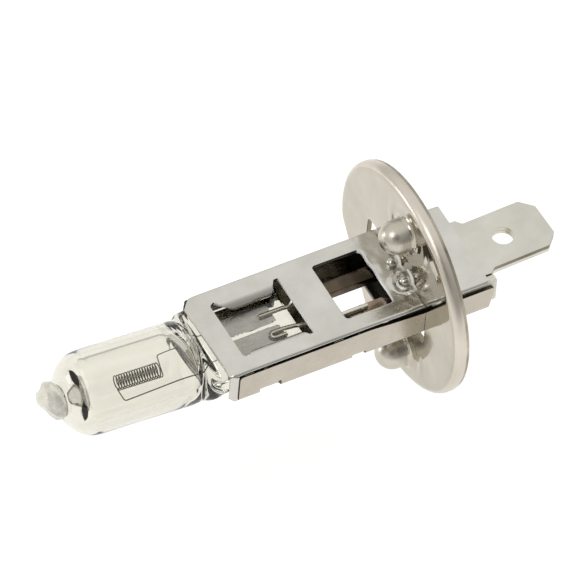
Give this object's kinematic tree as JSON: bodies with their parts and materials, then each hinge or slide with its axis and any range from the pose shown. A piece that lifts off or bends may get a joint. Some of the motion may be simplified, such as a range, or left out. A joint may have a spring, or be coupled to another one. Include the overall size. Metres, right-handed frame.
{
  "type": "headlight bulb",
  "caption": "Single-filament halogen headlight lamp: quartz capsule in a windowed two-shell metal cap with a focus flange and a flat blade terminal.",
  "frame": {"origin": "where the lamp axis crosses the front (seating) face of the focus flange", "axes": "+X along the lamp axis towards the blade terminal, so the glass nose points to -X; +Z away from the top plate of the upper shell; +Y completes the frame"},
  "size_m": [0.048, 0.0206, 0.0206],
  "materials": {
    "quartz": "clear",
    "tungsten": "matt drawn wire",
    "molybdenum": "satin foil",
    "nickel_wire": "satin",
    "plated_steel": "satin nickel plate",
    "polished_steel": "bright nickel plate",
    "weld_metal": "melted, bright",
    "ceramic": "fired, matt",
    "tinned_brass": "tin plate, satin"
  },
  "bodies": {
    "root": {"glass_capsule": "quartz", "filament": "tungsten", "foil_live": "molybdenum", "foil_ground": "molybdenum", "lead_live": "nickel_wire", "lead_ground": "nickel_wire", "upper_shell": "plated_steel", "lower_shell": "plated_steel", "shell_welds": "weld_metal", "focus_flange": "polished_steel", "flange_welds": "weld_metal", "insulator": "ceramic", "blade_terminal": "tinned_brass", "lead_welds": "weld_metal"}
  },
  "joints": []
}
